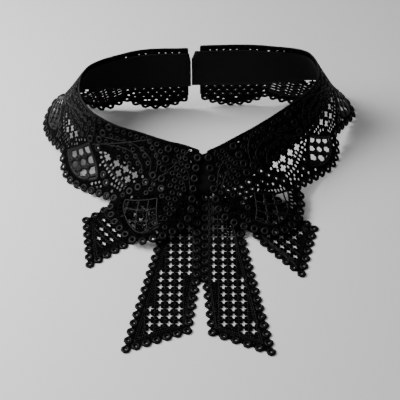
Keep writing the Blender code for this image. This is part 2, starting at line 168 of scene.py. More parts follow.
# Rows of rings across the band over the lining, (down, places skipped first)
BAND_ROWS = tuple((0.062 + 0.06 * row, row % 2) for row in range(8))
LOBE_ROWS = tuple((0.545 + 0.055 * row, row % 2) for row in range(8))  # and across the front lobe
BAND_PITCH = 4.8
BAND_SKIP = 0.05  # the share of places that stay plain, by chance
BAND_RING = 0.72
SMALL_RING = 0.8  # rings of a smaller size than this are made of fewer faces
GORE_STARS = ((0.2, 0.50), (0.34, 0.50), (0.48, 0.50), (0.62, 0.50), (0.2, 0.59), (0.34, 0.59))
GORE_EDGE = ((0.10, 0.655), (0.28, 0.645), (0.46, 0.60), (0.64, 0.535), (0.74, 0.45))
FRONT_STARS = ((0.15, 0.60), (0.12, 0.70), (0.21, 0.72))
# The middle line of the ring column from each scallop's front valley up to its back neighbour
COLUMN = (
    (0.14, 0.80), (0.28, 0.765), (0.46, 0.685), (0.64, 0.585), (0.80, 0.46), (0.90, 0.34), (0.97, 0.2),
)
LOBE_COLUMN = (
    (0.28, 0.85), (0.40, 0.74), (0.50, 0.66), (0.62, 0.53), (0.76, 0.42), (0.88, 0.30), (0.96, 0.18),
)
VALLEY_COLUMN = ((0.02, 0.78), (0.0, 0.5), (-0.01, 0.07))  # (from the valley, down), up it to the neck
# Raised cords across the band over the lining
BAND_CORDS = (
    ((0.93, 0.47), (1.02, 0.32), (1.20, 0.14), (1.40, 0.02)),
    ((0.90, 0.45), (0.74, 0.28), (0.50, 0.12), (0.30, 0.02)),
    ((0.14, 0.45), (0.30, 0.33), (0.56, 0.27), (0.84, 0.36)),
    ((0.06, 0.42), (0.22, 0.24), (0.56, 0.17), (0.94, 0.26)),
)

# Blacks, and the threads of the rings and knots: (ring radius, thread radius, height to width)
THREAD_BLACK = (0.0022, 0.0022, 0.0023, 1.0)
MESH_BLACK = (0.0008, 0.0008, 0.0009, 1.0)
LINING_BLACK = (0.007, 0.007, 0.0073, 1.0)
PLACKET_BLACK = (0.002, 0.002, 0.0021, 1.0)
RING_THREAD = (1.93, 1.02, 0.75)
KNOT_THREAD = (0.75, 0.85, 0.7)

# Camera, light and table
CAMERA_AIM = SHIFT  # the point that the sections and tails are measured from
CAMERA_AWAY = 810.0
CAMERA_RISE = 45.0
LENS = 105.48
SENSOR = 36.0
ROOM_LIGHT = 0.13
TABLE_HALF = 3.0
TABLE_COLOUR = (0.6, 0.6, 0.6, 1.0)
Light = namedtuple("Light", "name at aim size power")
LIGHTS = (
    Light("key", (-0.47, 0.05, 0.44), (0.0, 0.0, 0.0), 0.4, 9.8),
    Light("overhead", (-0.25, 0.0, 1.3), (0.0, 0.0, 0.0), 0.8, 3.4),
    Light("front_fill", (-0.25, -1.2, 0.9), (0.0, 0.0, 0.03), 0.9, 2.6),
)

# A scallop's net fan, a quarter round: (share of the scallop's width, down) of its three corners
Fan = namedtuple("Fan", "apex front_end back_end")
LOBE_FAN = Fan((0.64, 0.58), (0.38, 0.86), (0.92, 0.785))
SCALLOP_FAN = Fan((0.93, 0.48), (0.39, 0.79), (0.95, 0.785))

Supplies = namedtuple("Supplies", "thread ground group ring small_ring knot")
Section = namedtuple("Section", "place neck belt rim")
Half = namedtuple("Half", "name side sections lace_end notch")
Tail = namedtuple(
    "Tail", "name outer_root inner_root outer_tip inner_tip root_height fall net_at net_heading seam"
)

# One row a section, from the front edge (0) over the valleys between scallops (1 to 4) to the
# back end (5). Each point is on the lace's middle surface; the rim runs through the ring centres.
LEFT_SECTIONS = (
    Section(0.00, (5.2, 8.0, 38.5), (9.4, -11.5, 22.0), (15.6, -33.0, 6.0)),
    Section(0.30, (9.5, 9.8, 39.2), (19.0, -9.0, 23.5), (37.0, -34.5, 6.5)),
    Section(0.55, (13.0, 11.5, 39.8), (26.5, -6.5, 24.5), (55.0, -35.0, 5.5)),
    Section(0.80, (16.6, 13.5, 40.4), (33.5, -2.5, 26.0), (69.0, -17.0, 5.0)),
    Section(1.00, (20.2, 15.8, 41.0), (39.5, 2.5, 27.0), (79.0, 8.0, 2.4)),
    Section(1.50, (39.5, 29.0, 43.0), (58.5, 23.0, 27.0), (95.5, 36.0, 2.4)),
    Section(2.00, (58.3, 43.4, 45.8), (76.0, 40.5, 28.0), (105.5, 70.0, 2.4)),
    Section(2.50, (76.7, 59.2, 49.8), (90.0, 66.0, 31.0), (114.0, 90.5, 2.4)),
    Section(3.00, (83.4, 72.6, 55.0), (94.0, 88.0, 33.0), (103.5, 114.0, 2.6)),
    Section(3.50, (75.8, 86.6, 61.0), (79.0, 98.0, 36.0), (75.0, 103.0, 2.8)),
    Section(4.00, (48.0, 88.8, 64.5), (48.5, 94.0, 38.0), (48.0, 101.0, 2.8)),
    Section(5.00, (-6.0, 88.6, 65.0), (-6.0, 93.0, 38.0), (-6.0, 99.5, 2.8)),
)
RIGHT_SECTIONS = (
    Section(0.00, (-0.7, 8.5, 38.5), (-4.5, -12.0, 21.0), (-6.0, -36.0, 6.0)),
    Section(0.30, (-6.2, 10.8, 39.2), (-13.0, -11.0, 22.0), (-26.0, -41.5, 6.5)),
    Section(0.55, (-10.8, 12.3, 39.8), (-20.0, -9.0, 23.0), (-44.0, -43.0, 5.5)),
    Section(0.80, (-15.8, 13.5, 40.4), (-27.0, -5.5, 24.0), (-60.0, -22.0, 5.0)),
    Section(1.00, (-20.2, 14.2, 41.0), (-32.5, -3.0, 25.0), (-71.0, -4.0, 2.4)),
    Section(1.50, (-40.0, 20.6, 43.5), (-54.0, 14.0, 26.0), (-92.0, 19.0, 2.4)),
    Section(2.00, (-59.2, 26.4, 46.5), (-77.0, 31.0, 28.5), (-105.5, 47.0, 2.4)),
    Section(2.50, (-76.7, 38.7, 50.0), (-90.0, 50.0, 29.5), (-114.0, 79.5, 2.4)),
    Section(3.00, (-83.6, 55.7, 54.0), (-96.0, 76.0, 31.0), (-105.5, 110.0, 2.6)),
    Section(3.50, (-77.5, 73.6, 59.0), (-82.5, 88.5, 34.0), (-77.5, 95.5, 2.8)),
    Section(4.00, (-51.6, 83.8, 62.3), (-53.0, 90.0, 36.5), (-54.5, 95.5, 2.8)),
    Section(5.00, (-6.6, 86.8, 64.4), (-6.6, 91.6, 38.0), (-6.6, 98.0, 2.8)),
)
# notch is how far the lining's top corner stands back from its end, as a share of a section.
HALVES = (
    Half("left", 1, LEFT_SECTIONS, 4.88, 0.045),
    Half("right", -1, RIGHT_SECTIONS, 4.95, 0.03),
)

# The stretch, from y to y, over which the long tails' inner edges meet
SEAM_TOP = -10.0
SEAM_FOOT = -76.0

# The ring centres at each tail's four corners, (x, y) on the table; fall is the length of its slope
# from the root height down to the table. Net columns start at net_at and follow net_heading. Where
# the long tails meet, seam is (x, shift): each one's rings run down that line and lie between the
# other's, since its first ring is shifted by that share of a pitch.
TAILS = (
    Tail("long_tail_left", (23.0, -8.5), (-2.2, -8.5), (43.5, -132.0), (7.6, -117.0), 18.7, 50.0,
         (8.9, -24.5), (0.0, -1.0), (3.6, 0.5)),
    Tail("long_tail_right", (-20.0, -8.5), (7.4, -8.5), (-45.6, -130.0), (-7.8, -115.5), 18.7, 50.0,
         (-7.2, -24.5), (0.0, -1.0), (-1.7, 0.0)),
    Tail("short_tail_left", (50.8, -1.8), (32.3, -30.0), (76.8, -28.0), (66.0, -68.5), 4.9, 34.0,
         (63.0, -36.0), (0.69, -0.72), None),
    Tail("short_tail_right", (-50.0, 0.7), (-26.0, -24.1), (-77.4, -20.0), (-72.2, -60.5), 8.5, 35.0,
         (-61.9, -24.5), (-0.79, -0.61), None),
)


def smooth_rows(places, rows, at):
    """The rows read off at any place along a smooth cubic through them."""
    places = np.array(places, float)
    rows = np.array(rows, float)
    step = np.diff(places)[:, None]
    slope = np.diff(rows, axis=0) / step
    tangent = np.empty_like(rows)
    tangent[1:-1] = (slope[:-1] * step[1:] + slope[1:] * step[:-1]) / (step[1:] + step[:-1])
    tangent[0] = slope[0]
    tangent[-1] = slope[-1]
    i = np.clip(np.searchsorted(places, at, side="right") - 1, 0, len(places) - 2)
    width = step[i]
    x = (np.asarray(at, float)[:, None] - places[i][:, None]) / width
    return (
        (2 * x**3 - 3 * x**2 + 1) * rows[i]
        + (x**3 - 2 * x**2 + x) * width * tangent[i]
        + (3 * x**2 - 2 * x**3) * rows[i + 1]
        + (x**3 - x**2) * width * tangent[i + 1]
    )


def half_points(half, uv):
    """Places (along, down) on a half's middle surface as points in space."""
    uv = np.asarray(uv, float)
    rows = [section.neck + section.belt + section.rim for section in half.sections]
    line = smooth_rows([section.place for section in half.sections], rows, uv[:, 0])
    down = uv[:, 1:2]
    neck_share = (down - BELT) * (down - 1) / BELT
    belt_share = down * (down - 1) / (BELT * (BELT - 1))
    rim_share = down * (down - BELT) / (1 - BELT)
    return neck_share * line[:, :3] + belt_share * line[:, 3:6] + rim_share * line[:, 6:]


def tail_points(tail, uv):
    """Places (across, along) on a tail, from its outer edge and from its root, as points in space."""
    uv = np.asarray(uv, float)
    across = uv[:, 0:1]
    along = uv[:, 1:2]
    root = np.array(tail.outer_root) * (1 - across) + np.array(tail.inner_root) * across
    tip = np.array(tail.outer_tip) * (1 - across) + np.array(tail.inner_tip) * across
    flat = root * (1 - along) + tip * along
    gone = along * np.linalg.norm(tip - root, axis=1)[:, None]
    slope = np.clip(1 - gone / tail.fall, 0, 1) ** SLOPE_POWER
    height = WALL_HALF + tail.root_height * slope
    return np.hstack([flat, height])


def frame_at(points_of, uv):
    """(point, along, down, normal) at places on a surface; along and down are per unit of place."""
    uv = np.asarray(uv, float)
    small = 1e-4
    side = np.array([[small, 0.0]])
    below = np.array([[0.0, small]])
    along = (points_of(uv + side) - points_of(uv - side)) / (2 * small)
    down = (points_of(uv + below) - points_of(uv - below)) / (2 * small)
    normal = np.cross(along, down)
    normal /= np.linalg.norm(normal, axis=1)[:, None]
    return points_of(uv), along, down, normal


def direction(points_of, place, heading):
    """The direction in space of a change of place."""
    _, along, down, _ = frame_at(points_of, [place])
    return heading[0] * along[0] + heading[1] * down[0]


def step_on(points_of, place, ahead_by, out_by, toward):
    """A place moved on its surface by millimetres: along a direction in space, and out to its right."""
    _, along, down, normal = frame_at(points_of, [place])
    basis = np.array([along[0], down[0]])
    ahead = toward - (toward @ normal[0]) * normal[0]
    ahead /= np.linalg.norm(ahead)
    move = ahead * ahead_by + np.cross(ahead, normal[0]) * out_by
    return np.asarray(place) + np.linalg.solve(basis @ basis.T, basis @ move)


def spaced_places(points_of, path, pitch):
    """Places evenly spaced in millimetres along a path of places, with both ends."""
    path = np.asarray(path, float)
    points = points_of(path)
    gone = np.concatenate([[0], np.cumsum(np.linalg.norm(np.diff(points, axis=0), axis=1))])
    count = max(1, round(gone[-1] / pitch))
    at = np.linspace(0, gone[-1], count + 1)
    return np.stack([np.interp(at, gone, path[:, k]) for k in range(2)], axis=1)


def corner_turn(before, centre, after, normal):
    """The degrees by which a chain turns left at a ring: more than 0 round an outer corner."""
    first = centre - before
    second = after - centre
    if not first.any() or not second.any():
        return 0.0
    return math.degrees(math.atan2(np.cross(first, second) @ normal, first @ second))


def headings(points):
    """The direction of a path at each of its points."""
    last = len(points) - 1
    return [points[min(i + 1, last)] - points[max(i - 1, 0)] for i in range(last + 1)]


def ring_edge(points_of, centres):
    """The outline of a chain of rings: an arc round each one and a notch between two."""
    centres = np.asarray(centres)
    points, _, _, normals = frame_at(points_of, centres)
    outline = []
    for i, centre in enumerate(centres):
        before = points[max(i - 1, 0)]
        after = points[min(i + 1, len(points) - 1)]
        reach = RING_ARC + corner_turn(before, points[i], after, normals[i]) / 2
        for degrees in np.linspace(-reach, reach, 4 if reach < CORNER_REACH else 6):
            turn = math.radians(degrees)
            ahead_by = RING_RADIUS * math.sin(turn)
            out_by = RING_RADIUS * math.cos(turn)
            outline.append(step_on(points_of, centre, ahead_by, out_by, after - before))
        if i < len(centres) - 1:
            between = (centre + centres[i + 1]) / 2
            outline.append(step_on(points_of, between, 0, WAIST_OUT, after - points[i]))
    return outline


def width_of(half, first):
    """A scallop's width in places: the last one ends with the lace."""
    return half.lace_end - LAST if first == LAST else 1


def edge_depth(half, along):
    """How far down the rim's ring centres lie at a place along the half."""
    if along < 1:
        return 1 - VALLEY_DEPTH * max(0, (along - LOBE_SHOULDER) / (1 - LOBE_SHOULDER)) ** 2
    first = min(int(along), LAST)
    width = width_of(half, first)
    return 1 - VALLEY_DEPTH * (2 * (along - first) / width - 1) ** 2


def rim_paths(half):
    """The places of the ring centres, a path from valley to valley: the last one turns up the front."""
    paths = []
    for first, last in ((half.lace_end - END_INSET, LAST), (4, 3), (3, 2), (2, 1)):
        paths.append([(along, edge_depth(half, along)) for along in np.linspace(first, last, 100)])
    lobe = [(along, edge_depth(half, along)) for along in np.linspace(1, LOBE_ROUND, 80)]
    for turn in np.linspace(math.pi / 2, 0, 60)[1:]:
        rise = (1 - LOBE_ROUND_DOWN) * math.sin(turn)
        lobe.append((LOBE_ROUND * (1 - math.cos(turn)), LOBE_ROUND_DOWN + rise))
    lobe += [(0.0, down) for down in np.linspace(LOBE_ROUND_DOWN, FRONT_TOP, 60)[1:]]
    return [np.array(path) for path in [*paths, lobe]]


def ring_places(points_of, paths):
    """The ring centres along paths that follow each other, each shared end taken once."""
    places = [spaced_places(points_of, path, RING_PITCH) for path in paths]
    return np.vstack([places[0], *[stretch[1:] for stretch in places[1:]]])


def lining_foot(along):
    """How far down the lining reaches: further at the back, where the cloth stands upright."""
    share = min(1.0, max(0.0, (along - LINING_DROP_FROM) / LINING_DROP_OVER))
    return LINING_FOOT_FRONT + (LINING_FOOT_BACK - LINING_FOOT_FRONT) * share * share * (3 - 2 * share)


def fan_frame(half, first):
    """(apex, step along the front side, step along the back side) of a fan, a cell each, in place."""
    fan = SCALLOP_FAN if first else LOBE_FAN
    width = width_of(half, first)
    apex, front_end, back_end = (np.array([first + width * share, down]) for share, down in fan)
    return apex, (front_end - apex) / FAN_CELLS, (back_end - apex) / FAN_CELLS


def inside(loop, place):
    """Whether a place lies inside a loop of places."""
    x, y = place
    found = False
    for (x0, y0), (x1, y1) in zip(loop, np.roll(loop, -1, axis=0)):
        if (y0 > y) != (y1 > y) and x < (x1 - x0) * (y - y0) / (y1 - y0) + x0:
            found = not found
    return found


def grid_places(outline, holes, spread, grid):
    """Places on an even grid inside the outline, clear of it and of the openings."""
    flat = [np.asarray(loop) * spread for loop in [outline, *holes]]
    near = []
    for loop in flat:
        for a, b in zip(loop, np.roll(loop, -1, axis=0)):
            count = max(1, int(np.linalg.norm(b - a) / 2))
            near += [a + (b - a) * k / count for k in range(count)]
    near = np.array(near)
    clear = grid * GRID_CLEAR
    low = flat[0].min(axis=0)
    high = flat[0].max(axis=0)
    found = []
    for row, y in enumerate(np.arange(low[1] + clear, high[1], grid * GRID_ROW)):
        for x in np.arange(low[0] + clear + (row % 2) * grid / 2, high[0], grid):
            place = np.array([x, y])
            if np.linalg.norm(near - place, axis=1).min() < clear or not inside(flat[0], place):
                continue
            if not any(inside(loop, place) for loop in flat[1:]):
                found.append(place / spread)
    return found


def line_places(start, end, count):
    """Places at that many even steps along a straight line, without its end."""
    return [np.array(start) + (np.array(end) - np.array(start)) * k / count for k in range(count)]


def place_over(points_of, spot):
    """The place on a surface that lies over a spot of the table."""
    place = np.array([0.5, 0.5])
    for _ in range(12):
        point, along, down, _ = frame_at(points_of, [place])
        slope = np.array([along[0][:2], down[0][:2]]).T
        place = place + np.linalg.solve(slope, np.asarray(spot) - point[0][:2])
    return place


def shape_at(points_of, place, toward, shape):
    """A flat shape, as (ahead, out) in millimetres, laid on the surface round a place."""
    _, along, down, normal = frame_at(points_of, [place])
    basis = np.array([along[0], down[0]])
    ahead = toward - (toward @ normal[0]) * normal[0]
    ahead /= np.linalg.norm(ahead)
    out = np.cross(ahead, normal[0])
    move = np.asarray(shape) @ np.array([ahead, out])
    return np.asarray(place) + np.linalg.solve(basis @ basis.T, basis @ move.T).T


def round_shape(radius, corners):
    turns = np.arange(corners) * 2 * math.pi / corners
    return np.column_stack([np.cos(turns), np.sin(turns)]) * radius


def slot_shape(length, width):
    """A rounded slot, its length ahead and its width out."""
    x, y = length / 2, width / 2
    return [(-x, -y * 0.5), (-x * 0.6, -y), (x * 0.6, -y), (x, -y * 0.5),
            (x, y * 0.5), (x * 0.6, y), (-x * 0.6, y), (-x, y * 0.5)]


def star_shape(tip, waist, half_arm):
    """A plus with four short arms."""
    corners = []
    for turn in np.arange(4) * math.pi / 2:
        x, y = math.cos(turn), math.sin(turn)
        for ahead, aside in ((tip, -half_arm), (tip, half_arm), (waist, waist)):
            corners.append((x * ahead - y * aside, y * ahead + x * aside))
    return corners


class Lace:
    """A lace piece being laid out: its openings, rings and cords, and the room that they take up."""

    def __init__(self, points_of):
        self.points_of = points_of
        self.outline = []
        self.holes = []
        self.windows = []
        self.rings = []
        self.knots = []
        self.cords = []
        self.taken = [np.empty((0, 3))]
        self.reaches = [np.empty(0)]
        self.joined = None

    def claim(self, points, reach):
        """Takes up the room round some points."""
        self.taken.append(points)
        self.reaches.append(np.full(len(points), reach))
        self.joined = None

    def free(self, point, reach):
        """Whether nothing taken up lies within reach of a point."""
        if self.joined is None:
            self.joined = np.vstack(self.taken), np.concatenate(self.reaches)
        return (np.linalg.norm(self.joined[0] - point, axis=1) >= self.joined[1] + reach).all()

    def cut(self, place, toward, shape, reach, bar=BAR):
        """Cuts a small opening unless something is in its way."""
        point = self.points_of(np.array([place]))
        if not self.free(point[0], reach + bar) or any(inside(loop, place) for loop in self.windows):
            return False
        self.holes.append(shape_at(self.points_of, place, toward, shape))
        self.claim(point, reach)
        return True

    def ring(self, place, toward, size=1.0, squeeze=SQUEEZE):
        """Adds a ring with its eye unless it would lie over another one."""
        point = self.points_of(np.array([place]))
        radius = RING_RADIUS * size
        if not self.free(point[0], radius - squeeze) or any(inside(loop, place) for loop in self.windows):
            return
        self.rings.append((place, toward, size))
        self.holes.append(shape_at(self.points_of, place, toward, round_shape(RING_EYE * size, 8)))
        self.claim(point, radius)

    def band_ring(self, place):
        """Adds a small ring that lies along the cloth."""
        self.ring(place, direction(self.points_of, place, UP_EDGE), BAND_RING)

    def edge(self, centres, before=()):
        """Sets the outline, with what comes before the rings first, and adds the rings along it."""
        self.outline = [*before, *ring_edge(self.points_of, centres)]
        for place, toward in zip(centres, headings(self.points_of(centres))):
            self.ring(place, toward, squeeze=EDGE_SQUEEZE)

    def cord(self, path, width, closed=False, keep=0.0):
        """Adds a raised cord along a path of places."""
        places = even_places(self.points_of, path, CORD_STEP)
        self.cords.append((places, width, closed))
        if keep:
            self.claim(self.points_of(places), keep)

    def chain(self, path):
        """Adds rings along a path of places."""
        places = spaced_places(self.points_of, path, CHAIN_PITCH)
        for place, toward in zip(places, headings(self.points_of(places))):
            self.ring(place, toward)

    def window(self, loop, width):
        """Cuts one large opening with a cord round it."""
        self.holes.append(np.asarray(loop))
        self.windows.append(np.asarray(loop))
        self.cord(np.vstack([loop, loop[:1]]), width, closed=True, keep=width / 2)

    def ladder(self, path, offset):
        """Cuts a row of slots on each side of a path, where there is cloth and room."""
        places = even_places(self.points_of, path, SLOT_PITCH)
        points = self.points_of(places)
        for i, place in enumerate(places[:-1]):
            toward = points[i + 1] - points[i]
            for side in (-offset, offset):
                spot = shape_at(self.points_of, (place + places[i + 1]) / 2, toward, [(0.0, side)])[0]
                self.cut(spot, toward, slot_shape(*SLOT), SLOT_ROOM, NARROW_BAR)


def even_places(points_of, path, pitch):
    """Places evenly spaced along straight lines between a path's points, at about the pitch."""
    path = np.asarray(path, float)
    at = np.linspace(0, len(path) - 1, (len(path) - 1) * PATH_STEPS + 1)
    dense = np.stack([np.interp(at, np.arange(len(path)), path[:, k]) for k in range(2)], axis=1)
    return spaced_places(points_of, dense, pitch)


def smooth_path(path):
    """A smooth curve of places through a few."""
    path = np.asarray(path, float)
    steps = np.arange(len(path), dtype=float)
    return smooth_rows(steps, path, np.linspace(0, len(path) - 1, (len(path) - 1) * CURVE_STEPS + 1))


def make_piece(name, vertices, faces, material, smooth=True):
    mesh = bpy.data.meshes.new(name)
    mesh.from_pydata([tuple(v) for v in (vertices + SHIFT) * MM], [], [tuple(f) for f in faces])
    mesh.polygons.foreach_set("use_smooth", [smooth] * len(faces))
    mesh.materials.append(material)
    piece = bpy.data.objects.new(name, mesh)
    bpy.context.scene.collection.objects.link(piece)
    return piece


def flat_cloth(name, points_of, outline, holes, spread, thick, offset, material, grid=0):
    """A thin closed sheet on a surface, with its openings cut through: smooth where it has a grid."""
    spread = np.array(spread, float)
    loops = [np.asarray(outline), *[np.asarray(hole) for hole in holes]]
    places = [place for loop in loops for place in loop]
    if grid:
        places += grid_places(outline, holes, spread, grid)
    faces = []
    first = 0
    for loop in loops:
        ring = list(range(first, first + len(loop)))
        nxt = np.roll(loop, -1, axis=0)
        area = (loop[:, 0] * nxt[:, 1] - nxt[:, 0] * loop[:, 1]).sum()
        faces.append(ring if area > 0 else ring[::-1])
        first += len(loop)
    flat = [Vector(place * spread) for place in places]
    cut, _, triangles, _, _, sources = delaunay_2d_cdt(flat, [], faces, 1, 1e-6)
    kept = [tri for tri, source in zip(triangles, sources) if list(source) == [0]]
    used = sorted({corner for tri in kept for corner in tri})
    number = {corner: i for i, corner in enumerate(used)}
    kept = [[number[corner] for corner in tri] for tri in kept]
    uv = np.array([cut[corner] for corner in used]) / spread
    middle, _, _, normal = frame_at(points_of, uv)
    middle = middle + normal * offset
    vertices = np.vstack([middle + normal * thick / 2, middle - normal * thick / 2])
    count = len(uv)
    shell = [list(tri) for tri in kept]
    shell += [[corner + count for corner in reversed(tri)] for tri in kept]
    directed = {(tri[k], tri[(k + 1) % 3]) for tri in kept for k in range(3)}
    for a, b in sorted(directed):
        if (b, a) not in directed:
            shell.append([b, a, a + count, b + count])
    return make_piece(name, vertices, shell, material, smooth=grid > 0)


def cord_piece(name, points_of, cords, height, material, lift=0.0, sides=6):
    """One piece made of flat oval cords along paths of places."""
    vertices = []
    faces = []
    start = 0
    turns = np.arange(sides) * 2 * math.pi / sides
    for places, width, closed in cords:
        points, _, _, normals = frame_at(points_of, places)
        if closed:
            points, normals = points[:-1], normals[:-1]
            tangents = np.roll(points, -1, axis=0) - np.roll(points, 1, axis=0)
        else:
            tangents = np.gradient(points, axis=0)
        tangents /= np.linalg.norm(tangents, axis=1)[:, None] + 1e-12
        across = np.cross(tangents, normals)
        points = points + normals * lift
        rows = len(points)
        loops = (points[:, None] + across[:, None] * (np.cos(turns) * width / 2)[None, :, None]
                 + normals[:, None] * (np.sin(turns) * height / 2)[None, :, None])
        vertices.append(loops.reshape(-1, 3))
        for i in range(rows if closed else rows - 1):
            j = (i + 1) % rows
            for k in range(sides):
                m = (k + 1) % sides
                faces.append((start + i * sides + k, start + i * sides + m,
                              start + j * sides + m, start + j * sides + k))
        if not closed:
            faces.append(tuple(start + k for k in reversed(range(sides))))
            faces.append(tuple(start + (rows - 1) * sides + k for k in range(sides)))
        start += rows * sides
    return make_piece(name, np.vstack(vertices), faces, material)


def spread_group():
    """Geometry Nodes: sets a small object on every point, turned by its facing and ahead attributes."""
    group = bpy.data.node_groups.new("set_on_points", "GeometryNodeTree")
    for socket, way, kind in (("Geometry", "INPUT", "Geometry"), ("Small object", "INPUT", "Object"),
                              ("Thread", "INPUT", "Material"), ("Geometry", "OUTPUT", "Geometry")):
        group.interface.new_socket(socket, in_out=way, socket_type="NodeSocket" + kind)
    nodes, links = group.nodes, group.links
    came = nodes.new("NodeGroupInput")
    went = nodes.new("NodeGroupOutput")
    thing = nodes.new("GeometryNodeObjectInfo")
    instance = nodes.new("GeometryNodeInstanceOnPoints")
    named = {}
    for name, kind in (("facing", "FLOAT_VECTOR"), ("ahead", "FLOAT_VECTOR"), ("size", "FLOAT")):
        named[name] = nodes.new("GeometryNodeInputNamedAttribute")
        named[name].data_type = kind
        named[name].inputs["Name"].default_value = name
    upright = nodes.new("FunctionNodeAlignRotationToVector")
    upright.axis = "Z"
    turned = nodes.new("FunctionNodeAlignRotationToVector")
    turned.axis = "X"
    turned.pivot_axis = "Z"
    realize = nodes.new("GeometryNodeRealizeInstances")
    paint = nodes.new("GeometryNodeSetMaterial")
    for source, leaving, target, entering in (
        (came, "Geometry", instance, "Points"),
        (came, "Small object", thing, "Object"),
        (thing, "Geometry", instance, "Instance"),
        (named["facing"], "Attribute", upright, "Vector"),
        (upright, "Rotation", turned, "Rotation"),
        (named["ahead"], "Attribute", turned, "Vector"),
        (turned, "Rotation", instance, "Rotation"),
        (named["size"], "Attribute", instance, "Scale"),
        (instance, "Instances", realize, "Geometry"),
        (realize, "Geometry", paint, "Geometry"),
        (came, "Thread", paint, "Material"),
        (paint, "Geometry", went, "Geometry"),
    ):
        links.new(source.outputs[leaving], target.inputs[entering])
    return group


def set_on_points(name, group, small, points_of, spots, material):
    """One piece made of a small object set at each of the (place, toward, size) spots."""
    places = np.array([spot[0] for spot in spots])
    points, _, _, normals = frame_at(points_of, places)
    mesh = bpy.data.meshes.new(name)
    mesh.from_pydata([tuple(v) for v in (points + SHIFT) * MM], [], [])
    for key, rows in (("facing", normals), ("ahead", np.array([spot[1] for spot in spots]))):
        mesh.attributes.new(key, "FLOAT_VECTOR", "POINT").data.foreach_set("vector", rows.ravel())
    sizes = np.array([spot[2] for spot in spots], float)
    mesh.attributes.new("size", "FLOAT", "POINT").data.foreach_set("value", sizes)
    base = bpy.data.objects.new(name + "_points", mesh)
    bpy.context.scene.collection.objects.link(base)
    modifier = base.modifiers.new("set_on_points", "NODES")
    modifier.node_group = group
    given = {"Small object": small, "Thread": material}
    for item in group.interface.items_tree:
        if item.in_out == "INPUT" and item.name in given:
            modifier[item.identifier] = given[item.name]
    shown = base.evaluated_get(bpy.context.evaluated_depsgraph_get())
    made = bpy.data.meshes.new_from_object(shown)
    bpy.data.objects.remove(base, do_unlink=True)
    piece = bpy.data.objects.new(name, made)
    piece.data.name = name
    bpy.context.scene.collection.objects.link(piece)
    return piece


def small_ring(name, major, minor, flat, segments=16, sides=6):
    """A flattened ring of thread, hidden: only its copies show."""
    vertices = []
    faces = []
    for i in range(segments):
        a = 2 * math.pi * i / segments
        for k in range(sides):
            b = 2 * math.pi * k / sides
            reach = major + minor * math.cos(b)
            corner = (reach * math.cos(a), reach * math.sin(a), minor * flat * math.sin(b))
            vertices.append([value * MM for value in corner])
            j, m = (i + 1) % segments, (k + 1) % sides
            faces.append((i * sides + k, j * sides + k, j * sides + m, i * sides + m))
    mesh = bpy.data.meshes.new(name)
    mesh.from_pydata(vertices, [], faces)
    mesh.polygons.foreach_set("use_smooth", [True] * len(faces))
    thing = bpy.data.objects.new(name, mesh)
    bpy.context.scene.collection.objects.link(thing)
    return thing


def thread_material(name, colour, roughness, specular, grain):
    """Satin thread: fine wrapped strands as a bump, and a soft sheen."""
    material, shader, place, nodes, links = black_cloth(name, roughness, specular)
    noise = nodes.new("ShaderNodeTexNoise")
    noise.inputs["Scale"].default_value = grain
    noise.inputs["Detail"].default_value = 3.0
    links.new(place.outputs["Object"], noise.inputs["Vector"])
    tone = nodes.new("ShaderNodeMapRange")
    tone.inputs["To Min"].default_value = 0.6
    tone.inputs["To Max"].default_value = 1.5
    links.new(noise.outputs["Fac"], tone.inputs["Value"])
    mix = nodes.new("ShaderNodeVectorMath")
    mix.operation = "SCALE"
    mix.inputs[0].default_value = colour[:3]
    links.new(tone.outputs["Result"], mix.inputs["Scale"])
    links.new(mix.outputs["Vector"], shader.inputs["Base Color"])
    add_bump(nodes, links, noise.outputs["Fac"], shader, strength=0.6, distance=0.0003)
    return material


def mesh_material(name, colour, roughness, specular, cells):
    """The close thread mesh between openings: small cells as a bump."""
    material, shader, place, nodes, links = black_cloth(name, roughness, specular)
    shader.inputs["Base Color"].default_value = colour
    shader.inputs["Sheen Weight"].default_value = 0.002
    mesh = nodes.new("ShaderNodeTexVoronoi")
    mesh.feature = "DISTANCE_TO_EDGE"
    mesh.inputs["Scale"].default_value = cells
    links.new(place.outputs["Object"], mesh.inputs["Vector"])
    edge = nodes.new("ShaderNodeMapRange")
    edge.inputs["From Max"].default_value = 0.3
    edge.inputs["To Min"].default_value = 1.0
    edge.inputs["To Max"].default_value = 0.0
    links.new(mesh.outputs["Distance"], edge.inputs["Value"])
    add_bump(nodes, links, edge.outputs["Result"], shader, strength=1.0, distance=0.0006)
    return material


def black_cloth(name, roughness, specular):
    """A black material with the sheen of cloth, and what its pattern is made with."""
    material = bpy.data.materials.new(name)
    material.use_nodes = True
    nodes, links = material.node_tree.nodes, material.node_tree.links
    shader = nodes["Principled BSDF"]
    shader.inputs["Roughness"].default_value = roughness
    shader.inputs["Specular IOR Level"].default_value = specular
    shader.inputs["Sheen Weight"].default_value = 0.008
    shader.inputs["Sheen Roughness"].default_value = 0.4
    return material, shader, nodes.new("ShaderNodeTexCoord"), nodes, links


def add_bump(nodes, links, height, shader, strength, distance):
    bump = nodes.new("ShaderNodeBump")
    bump.inputs["Strength"].default_value = strength
    bump.inputs["Distance"].default_value = distance
    links.new(height, bump.inputs["Height"])
    links.new(bump.outputs["Normal"], shader.inputs["Normal"])


